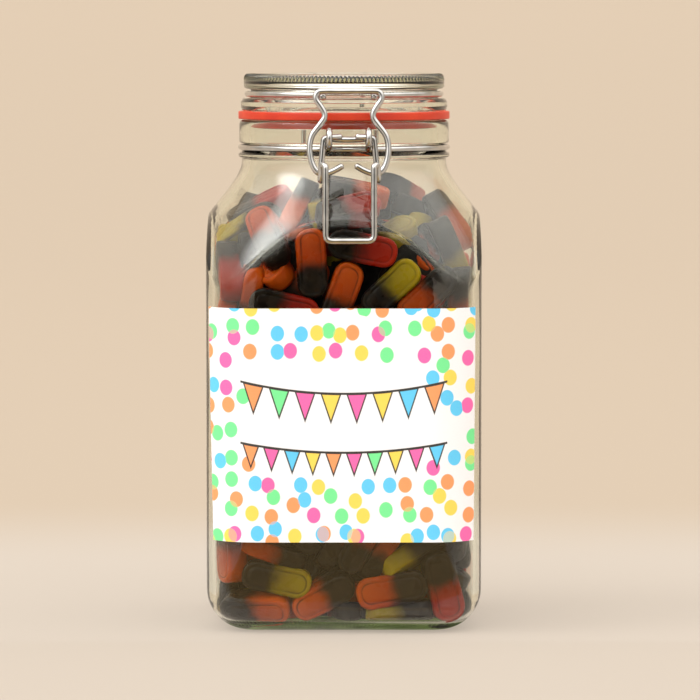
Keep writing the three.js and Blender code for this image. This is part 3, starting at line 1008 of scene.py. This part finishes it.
def hangPennants(tree, place, shade):
    v = labelShape
    run, rise, _ = apart(tree, vectors(tree, "MULTIPLY", place, (v["unit"],) * 3))
    away = sums(tree, "DIVIDE", sums(tree, "ABSOLUTE", run), v["garlandHalf"])
    inside = sums(tree, "LESS_THAN", away, 1.0)
    bow = sums(tree, "POWER", away, 2.0)
    for middle, sag, pitch, half, drop, colourStep in garlands:
        line = sums(tree, "MULTIPLY_ADD", bow, sag, middle)
        below = sums(tree, "SUBTRACT", line, rise)
        cell = sums(tree, "DIVIDE", run, pitch)
        offset = sums(tree, "SUBTRACT", sums(tree, "FRACT", cell), 0.5)
        aside = sums(tree, "ABSOLUTE", sums(tree, "MULTIPLY", offset, pitch))
        share = sums(tree, "DIVIDE", below, drop)
        width = sums(tree, "MULTIPLY_ADD", share, -half, half)  # half of what is left at this drop
        margin = sums(tree, "MINIMUM", sums(tree, "SUBTRACT", width, aside), below)
        pennant = spread(tree, margin, *v["outlineEdge"])
        string = spread(tree, sums(tree, "ABSOLUTE", below), *v["stringEdge"], 1.0, 0.0)
        drawn = sums(tree, "MULTIPLY", inside, sums(tree, "MAXIMUM", pennant, string))
        filled = sums(tree, "MULTIPLY", inside, spread(tree, margin, *v["fillEdge"]))
        number = sums(tree, "MULTIPLY", sums(tree, "FLOOR", cell), colourStep)
        shade = mixColours(tree, drawn, shade, v["ink"])
        shade = mixColours(tree, filled, shade, pickColour(tree, sums(tree, "FRACT", number)))
    return shade


def wrapLabel():
    v = labelShape
    columns, rows = v["columns"], v["rows"]
    points, places = [], []
    for lift in (v["gap"], v["gap"] + v["thickness"]):
        for j in range(rows + 1):
            height = v["bottom"] + (v["top"] - v["bottom"]) * j / rows
            for i in range(columns + 1):
                point, run = onWrap(i / columns, height, lift)
                points.append(point)
                across = run + v["faceOn"] * (point[0] - run)
                places.append((across / v["unit"], (height - (v["bottom"] + v["top"]) / 2) / v["unit"]))
    sheet = (rows + 1) * (columns + 1)
    grid = np.arange(sheet).reshape(rows + 1, columns + 1)
    a, b, c, d = (part.ravel() for part in (grid[:-1, :-1], grid[:-1, 1:], grid[1:, 1:], grid[1:, :-1]))
    edge = np.concatenate([grid[0], grid[1:, -1], grid[-1, -2::-1], grid[-2:0:-1, 0]])
    after = np.roll(edge, -1)
    faces = np.hstack([(a, d, c, b), np.add((a, b, c, d), sheet), (edge, after, after + sheet, edge + sheet)])
    piece = meshFrom("paperLabel", points, faces.T.tolist(), confettiPaper(), sharpAngle=40)
    layer = piece.data.uv_layers.new(name="label")
    corners = np.zeros(len(piece.data.loops), np.int32)
    piece.data.loops.foreach_get("vertex_index", corners)
    layer.data.foreach_set("uv", np.array(places, np.float32)[corners].ravel())
    return piece


fitPiece(wrapLabel(), "jar", "paper", "label")
print("label done")


# sweets

gumShape = {
    "length": 29.0,
    "width": 12.5,
    "thickness": 8.5,
    "endRound": 5.7,
    "endSteps": 5,
    "sideSteps": 3,
    # inset from the outline and height, from under the gum to the middle of its top
    "section": ((3.4, -4.1), (2.7, -4.05), (2.3, -3.75), (1.9, -4.1), (1.0, -4.15), (0.3, -3.8), (0.0, -3.1),
                (0.15, 2.4), (0.4, 3.5), (0.95, 4.05), (1.8, 4.15), (2.25, 3.7), (2.8, 4.05), (4.4, 4.2)),
    "creases": (2, 11),  # which rings of the section are creases, darkened with painted shade
    "leastRound": 0.4,
    "uneven": 0.8,
}

heap = {
    "seed": 11,
    "count": 500,
    "clearance": 1.2,
    "floorClearance": 0.5,
    "leastRound": 0.5,  # of the space left to the gums
    "startBox": ((-50, -50, 7), (50, 50, 186)),
    "startDepth": 4,
    "startTilt": 0.35,
    "beadsAlong": 6,  # a gum is felt as two rows of beads
    "moundTop": 189.0,
    "moundLevel": 13.8,  # radius of the level middle
    "moundDroop": 0.0158,
    "moundBumps": (1.6, 0.13, 0.11),  # height, and how fast they follow one another both ways
    "moundPush": 0.7,
    "growSteps": 300,
    "settleSteps": 150,
    "startScale": 0.5,
    "sink": 0.025,
    "push": 1.5,
    "lookEvery": 8,  # steps between two searches for neighbours
    "lookPast": (6, 5),  # margins of that search, for gums and for beads
    "pressSteps": 12,  # last of all the glass alone pushes back
    "wallLayer": 18.0,  # gums nearer the glass than this lie along it
    "broadShare": 0.76,  # of those, how many turn a broad face to it
    "layRate": 0.05,
    "mixReach": 26.0,
    "mixChance": (0.2, 1.2),
    "sizes": (0.95, 1.02),
}

# kind, share of the heap, lighter and deeper colour of the fruit half
fruitColours = (
    ("sweetsRed", 0.28, rgb(158, 33, 8), rgb(120, 18, 6)),
    ("sweetsOrange", 0.48, rgb(176, 75, 5), rgb(142, 48, 4)),
    ("sweetsYellow", 0.24, rgb(152, 132, 12), rgb(112, 95, 8)),
)


def gumOutline(inset):
    v = gumShape
    long, wide = v["length"] / 2 - inset, v["width"] / 2 - inset
    bend = min(max(v["endRound"] - inset, v["leastRound"]), wide)
    corners = ((long - bend, wide - bend, 0), (bend - long, wide - bend, 90),
               (bend - long, bend - wide, 180), (long - bend, bend - wide, 270))
    points = []
    for number, (x, y, start) in enumerate(corners):
        for step in range(v["endSteps"] + 1):
            turn = math.radians(start + 90 * step / v["endSteps"])
            points.append((x + bend * math.cos(turn), y + bend * math.sin(turn)))
        if number % 2 == 0:  # along the straight side
            side = corners[number + 1][0]
            for step in range(1, v["sideSteps"]):
                points.append((x + (side - x) * step / v["sideSteps"], points[-1][1]))
    return points


def gumTemplate():
    rows = []
    for inset, height in gumShape["section"]:
        rows.append([(x, y, height) for x, y in gumOutline(inset)])
    finish = bpy.data.materials.new("gumBlank")
    ends = gumShape["section"][0][1], gumShape["section"][-1][1]
    gum = turnedPiece("gum", rows, finish, poles=ends)
    along = gum.data.attributes.new("along", "FLOAT", "POINT")
    reach = gumShape["length"] / 2 * metres
    along.data.foreach_set("value", [vertex.co.x / reach for vertex in gum.data.vertices])
    crease = gum.data.attributes.new("crease", "FLOAT", "POINT")
    around = len(rows[0])
    for number in gumShape["creases"]:
        for i in range(number * around, (number + 1) * around):
            crease.data[i].value = 1.0
    return gum


def fromAxis(points):
    return np.hypot(points[:, 0], points[:, 1])


# pushes beads of one radius back inside the glass and under the top of the heap
def keepInJar(spots, radius):
    v = jarShape
    inset = v["wall"] + heap["clearance"] + radius
    corner = max(v["corner"] - inset, heap["leastRound"])
    heel = max(v["innerHeel"] + v["wall"] - inset, heap["leastRound"])
    flat = v["half"] - inset - corner
    low = v["floor"] + heap["floorClearance"] + radius
    # walls and floor, which meet in the round of the heel
    beyond = np.maximum(np.abs(spots[:, :2]) - flat, 0)
    reach = np.linalg.norm(beyond, axis=1)
    side = np.maximum(reach - corner + heel, 0)
    down = np.maximum(low + heel - spots[:, 2], 0)
    total = np.maximum(np.hypot(side, down), tiny)
    over = np.maximum(total - heel, 0) / total
    inward = np.sign(spots[:, :2]) * beyond / np.maximum(reach, tiny)[:, None]
    spots[:, :2] -= inward * (over * side)[:, None]
    spots[:, 2] += over * down
    # shoulder and neck
    curve = shoulderCurve(inset)
    limit = domeRadius(curve, spots[:, 2])
    limit[spots[:, 2] < curve[0, 1]] = 1e3  # no limit below the shoulder
    away = np.maximum(fromAxis(spots), tiny)
    spots[:, :2] *= np.minimum(limit / away, 1)[:, None]
    # top of the heap
    over = spots[:, 2] + radius - moundHeight(spots)
    spots[:, 2] -= heap["moundPush"] * np.maximum(over, 0)
    return spots


def moundHeight(spots):
    height, paceX, paceY = heap["moundBumps"]
    bumps = height * np.sin(paceX * spots[:, 0] + 1) * np.sin(paceY * spots[:, 1])
    past = np.maximum(fromAxis(spots) - heap["moundLevel"], 0)
    return heap["moundTop"] + bumps - heap["moundDroop"] * past**2


# how far each gum is from the glass or the top of the heap, and which way that lies
def nearestGlass(centres):
    v = jarShape
    each = np.arange(len(centres))
    ways = np.zeros((4, len(centres), 3))
    past = np.abs(centres[:, :2]) - (v["half"] - v["corner"])
    bent = np.maximum(past, 0)
    reach = np.linalg.norm(bent, axis=1)
    side = v["corner"] - v["wall"] - reach - np.minimum(past.max(1), 0)
    straight = past == past.max(1, keepdims=True)
    outward = np.where(reach[:, None] > 0, bent / np.maximum(reach, tiny)[:, None], straight)
    ways[0, :, :2] = outward * np.sign(centres[:, :2])
    ways[1, :, 2] = -1
    away = np.maximum(fromAxis(centres), tiny)
    steps = shoulderCurve(v["wall"]) - np.stack([away, centres[:, 2]], 1)[:, None]
    gaps = np.linalg.norm(steps, axis=2)
    closest = gaps.argmin(1)
    step = steps[each, closest] / np.maximum(gaps[each, closest], tiny)[:, None]
    ways[2, :, :2] = step[:, :1] * centres[:, :2] / away[:, None]
    ways[2, :, 2] = step[:, 1]
    past = np.maximum(away - heap["moundLevel"], 0)
    ways[3, :, :2] = 2 * heap["moundDroop"] * (past / away)[:, None] * centres[:, :2]
    ways[3, :, 2] = 1
    ways[3] /= np.linalg.norm(ways[3], axis=1)[:, None]
    under = moundHeight(centres) - centres[:, 2]
    distances = np.stack([side, centres[:, 2] - v["floor"], gaps[each, closest], under])
    pick = distances.argmin(0)
    return distances[pick, each], ways[pick, each]


# a small turn that brings a broad or a narrow side round to the glass
def layAlongGlass(centres, turns, broad):
    distance, way = nearestGlass(centres)
    facing = turns[np.arange(len(centres)), :, np.where(broad, 2, 1)]
    facing = facing * np.sign((facing * way).sum(1))[:, None]
    twist = np.cross(facing, way) * (heap["layRate"] * (distance < heap["wallLayer"]))[:, None]
    return turns + np.cross(twist[:, None], turns.transpose(0, 2, 1)).transpose(0, 2, 1)


# gums start small and scattered, grow, and push each other apart inside the glass until they fit
def packGums():
    dice = np.random.default_rng(heap["seed"])
    count = heap["count"]
    radius = gumShape["thickness"] / 2
    row = gumShape["width"] / 2 - radius
    reach = gumShape["length"] / 2 - radius
    columns = np.linspace(-reach, reach, heap["beadsAlong"])
    beads = np.array([(x, y, 0) for x in columns for y in (-row, row)])
    tries = dice.uniform(*heap["startBox"], (8 * count, 3))
    centres = tries[tries[:, 2] < moundHeight(tries) - heap["startDepth"]][:count]
    broad = dice.random(count) < heap["broadShare"]
    heading = dice.uniform(0, fullTurn, count)
    rise = dice.normal(0, heap["startTilt"], count)
    roll = dice.uniform(0, fullTurn, count)[:, None]
    along = np.stack([np.cos(heading) * np.cos(rise), np.sin(heading) * np.cos(rise), np.sin(rise)], 1)
    level = np.stack([-np.sin(heading), np.cos(heading), np.zeros(count)], 1)
    across = np.cos(roll) * level + np.sin(roll) * np.cross(along, level)
    turns = np.stack([along, across, np.cross(along, across)], 2)
    each = len(beads)
    last = heap["growSteps"] + heap["settleSteps"]
    pastGum, pastBead = heap["lookPast"]
    for step in range(last + heap["pressSteps"]):
        size = min(1, heap["startScale"] + (1 - heap["startScale"]) * step / heap["growSteps"])
        shape = beads * size
        if step < heap["growSteps"] + heap["settleSteps"] / 2:
            turns = layAlongGlass(centres, turns, broad)
        spots = (centres[:, None] + np.einsum("nij,kj->nki", turns, shape)).reshape(-1, 3)
        if step % heap["lookEvery"] == 0:
            between = ((centres[:, None] - centres[None])**2).sum(2)
            near = np.argwhere(np.triu(between < (gumShape["length"] * size + pastGum)**2, 1)) * each
            first = near[:, 0, None, None] + np.arange(each)[None, :, None]
            second = near[:, 1, None, None] + np.arange(each)[None, None, :]
            first, second = (side.ravel() for side in np.broadcast_arrays(first, second))
            close = ((spots[first] - spots[second])**2).sum(1) < (2 * radius * size + pastBead)**2
            first, second = first[close], second[close]
        gap = spots[first] - spots[second]
        length = np.sqrt((gap**2).sum(1)) + 1e-9
        over = 2 * radius * size - length
        hit = over > 0
        a, b = first[hit], second[hit]
        move = gap[hit] * (0.5 * over[hit] / length[hit])[:, None]
        total = len(spots)
        shift = np.stack([np.bincount(a, move[:, k], total) - np.bincount(b, move[:, k], total)
                          for k in range(3)], 1)
        hits = np.bincount(a, minlength=total) + np.bincount(b, minlength=total)
        if step < last:
            spots += heap["push"] * shift / np.maximum(hits, 1)[:, None]
            spots[:, 2] -= heap["sink"]
        grid = keepInJar(spots, radius * size).reshape(count, each, 3)
        centres = grid.mean(1)
        left, _, right = np.linalg.svd(np.einsum("nki,kj->nij", grid - centres[:, None], shape))
        left[:, :, 2] *= np.sign(np.linalg.det(left @ right))[:, None]
        turns = left @ right
    return centres, turns, dice


def heapTree():
    tree, given, result = newTree("gumHeap", (
        ("Gum", "Object"), ("Unevenness", "Float"), ("Lump Size", "Float"), ("Finish", "Material")))
    turn, size = (outOf(tree, "GeometryNodeInputNamedAttribute", {"Name": name}, data_type=kind)
                  for name, kind in (("turn", "FLOAT_VECTOR"), ("size", "FLOAT")))
    scattered = outOf(tree, "GeometryNodeInstanceOnPoints", {
        "Points": given["Geometry"],
        "Instance": addNode(tree, "GeometryNodeObjectInfo", {"Object": given["Gum"]}).outputs["Geometry"],
        "Rotation": outOf(tree, "FunctionNodeEulerToRotation", {0: turn}),
        "Scale": size,
    })
    # real before they are dented, so that each gum is dented in its own way
    real = outOf(tree, "GeometryNodeRealizeInstances", {"Geometry": scattered})
    lumps = addNode(tree, "ShaderNodeTexNoise", {
        "Vector": outOf(tree, "GeometryNodeInputPosition"),
        "Scale": sums(tree, "DIVIDE", 1.0, given["Lump Size"]),
        "Detail": 1.0,
    }).outputs["Color"]
    centred = vectors(tree, "SUBTRACT", lumps, (0.5, 0.5, 0.5))
    push = outOf(tree, "ShaderNodeVectorMath", {0: centred, "Scale": given["Unevenness"]}, operation="SCALE")
    dented = outOf(tree, "GeometryNodeSetPosition", {"Geometry": real, "Offset": push})
    return endTree(tree, dented, given["Finish"], result)


gumFinish = {
    "liquorice": rgb(13, 8, 5),
    "sheenAndWearColour": rgb(34, 25, 17),
    # painted shade, used in the gums' creases and on the heap's core
    "core": rgb(9, 6, 4),
    "meeting": (-0.22, 0.26),  # where along the gum the two halves run together
    "glow": 0.4,
    "glowDepth": (1.0, 0.4, 0.15),
    "glowReach": 0.003,
    "gloss": 0.14,
    "roughness": (0.22, 0.40),
    "wander": 0.5,  # how far the meeting strays
    "glowFade": (-1.0, -0.2),  # painted glow: the fruit half is painted lighter at its tip, as if lit through, and deepens between these places
    "glowFadeShare": 0.6,
    "toneShare": 0.5,  # from gum to gum
    "sheenAndWear": (0.42, 0.72),
    "creaseBreaks": (0.38, 0.6),
    "creaseShadeShares": (0.15, 0.8),
}


def fruitGum(name, bright, deep):
    v = gumFinish
    finish, tree, shader, _ = newFinish(name)
    point = objectPlace(tree)
    along, tone, crease = (pointValue(tree, value) for value in ("along", "tone", "crease"))
    cloud = grain(tree, point, scale=150.0, detail=2.0)
    strayed = sums(tree, "MULTIPLY_ADD", sums(tree, "SUBTRACT", cloud, 0.5), v["wander"], along)
    dark = spread(tree, strayed, *v["meeting"], smooth=True)
    # painted glow, lighter towards the thin tip of the fruit half
    inward = spread(tree, along, *v["glowFade"], 0.0, v["glowFadeShare"])
    fruit = mixColours(tree, sums(tree, "MULTIPLY_ADD", tone, v["toneShare"], inward), bright, deep)
    # painted sheen and wear: lighter mottling on the liquorice half
    sheenAndWear = spread(tree, grain(tree, point, scale=260.0, detail=2.0), *v["sheenAndWear"])
    whole = mixColours(tree, dark, fruit, mixColours(tree, sheenAndWear, v["liquorice"], v["sheenAndWearColour"]))
    # painted shade in the creases, broken up by the cloud
    paintedCreaseShade = sums(tree, "MULTIPLY", crease, spread(tree, cloud, *v["creaseBreaks"], *v["creaseShadeShares"]))
    dents = grain(tree, point, scale=320.0, detail=1.0)
    setInputs(tree, shader, {
        "Base Color": mixColours(tree, paintedCreaseShade, whole, v["core"]),
        "Roughness": spread(tree, cloud, 0.3, 0.7, *v["roughness"]),
        "Specular IOR Level": v["gloss"],
        "Subsurface Weight": v["glow"],
        "Subsurface Radius": v["glowDepth"],
        "Subsurface Scale": v["glowReach"],
        "Normal": roughen(tree, dents, strength=0.22, distance=0.0014),
    })
    return finish


coreShape = {
    "inset": 14.0,
    "sides": 64,
    "corner": 4.0,
    "edge": 4.0,
    "floorShares": (0.4, 0.8),
    "rows": 12,
    "foot": 5.0,  # first row of the side, above the floor of the core
    "sideDrop": 38.0,  # last row of it, under the top of the heap
    # closing rows: share of the outline, drop under the top of the heap
    "crown": ((0.85, 30.0), (0.6, 25.0), (0.3, 22.0)),
    "crownDrop": 21.0,
    "lumps": 0.05,
}


# what shows deep between the gums: a dark solid, painted shade standing in for the shaded gums deep in the
# heap
def darkCore():
    v = gumFinish
    finish, tree, shader, _ = newFinish("sweetsCore")
    lumps = grain(tree, objectPlace(tree), scale=90.0)
    setInputs(tree, shader, {
        "Base Color": mixColours(tree, lumps, v["core"], v["liquorice"]),
        "Roughness": 0.7,
        "Specular IOR Level": v["gloss"],
        "Normal": roughen(tree, lumps, strength=0.6, distance=0.004),
    })
    return finish


def heapCore():
    v = coreShape
    inset = jarShape["wall"] + v["inset"]
    angles = np.arange(v["sides"]) / v["sides"] * fullTurn
    square = squareReach(angles, jarShape["half"] - inset, v["corner"])
    curve = shoulderCurve(inset)
    bottom, top = jarShape["floor"] + v["inset"] / 2, heap["moundTop"]
    rows = [ring(angles, square * share, bottom) for share in v["floorShares"]]
    for level in np.linspace(bottom + v["foot"], top - v["sideDrop"], v["rows"]):
        rows.append(ring(angles, easedMin(domeRadius(curve, level), square, v["edge"]), level))
    rows += [ring(angles, square * share, top - drop) for share, drop in v["crown"]]
    lumpy = np.array(rows)
    x, y, z = np.moveaxis(lumpy, 2, 0)
    wave = np.sin(0.31 * x + 0.2 * z) * np.sin(0.27 * y - 0.23 * z)
    lumpy[..., :2] *= (1 + v["lumps"] * wave)[..., None]
    return turnedPiece("sweetsCore", lumpy, darkCore(), poles=(bottom, top - v["crownDrop"]))


# each gum takes the kind its neighbours have least of
def mixedKinds(centres, dice):
    shares = np.array([share for _, share, _, _ in fruitColours])
    kinds = np.full(len(centres), -1)
    for i in dice.permutation(len(centres)):
        near = kinds[np.linalg.norm(centres - centres[i], axis=1) < heap["mixReach"]]
        crowd = [(near == kind).sum() + dice.uniform(*heap["mixChance"]) for kind in range(len(shares))]
        kinds[i] = np.argmin(crowd / shares)
    return kinds


def fillJar():
    centres, turns, dice = packGums()
    print("packed", len(centres), "gums, top at", round(float(centres[:, 2].max()), 1), "mm")
    kinds = mixedKinds(centres, dice)
    flips = dice.random(len(centres)) < 0.5
    turns[flips, :, :2] *= -1  # end for end, the same face up
    sizes = dice.uniform(*heap["sizes"], len(centres))
    tones = dice.random(len(centres))
    gum = gumTemplate()
    tree = heapTree()
    for kind, (name, _, bright, deep) in enumerate(fruitColours):
        chosen = np.flatnonzero(kinds == kind)
        mesh = newMesh(name, (centres[chosen] * metres).tolist(), [], [])
        eulers = [Matrix(turns[i].tolist()).to_euler() for i in chosen]
        mesh.attributes.new("turn", "FLOAT_VECTOR", "POINT").data.foreach_set("vector", np.ravel(eulers))
        for label, values in (("size", sizes), ("tone", tones)):
            mesh.attributes.new(label, "FLOAT", "POINT").data.foreach_set("value", values[chosen])
        piece = grow(name, addObject(name + "Points", mesh), tree, {
            "Gum": gum,
            "Unevenness": gumShape["uneven"] * metres,
            "Lump Size": gumShape["width"] * metres,
            "Finish": fruitGum(name, bright, deep),
        })
        fitPiece(piece, "jar", "sweets", "sweets")
    bpy.data.objects.remove(gum)
    # the dark core is painted shade deep in the heap
    fitPiece(heapCore(), "jar", "sweets", "sweets")


fillJar()
print("sweets done")


# glass lets the light through to what is inside

for piece in ("jarGlass", "lidGlass"):
    bpy.data.objects[piece].visible_shadow = False
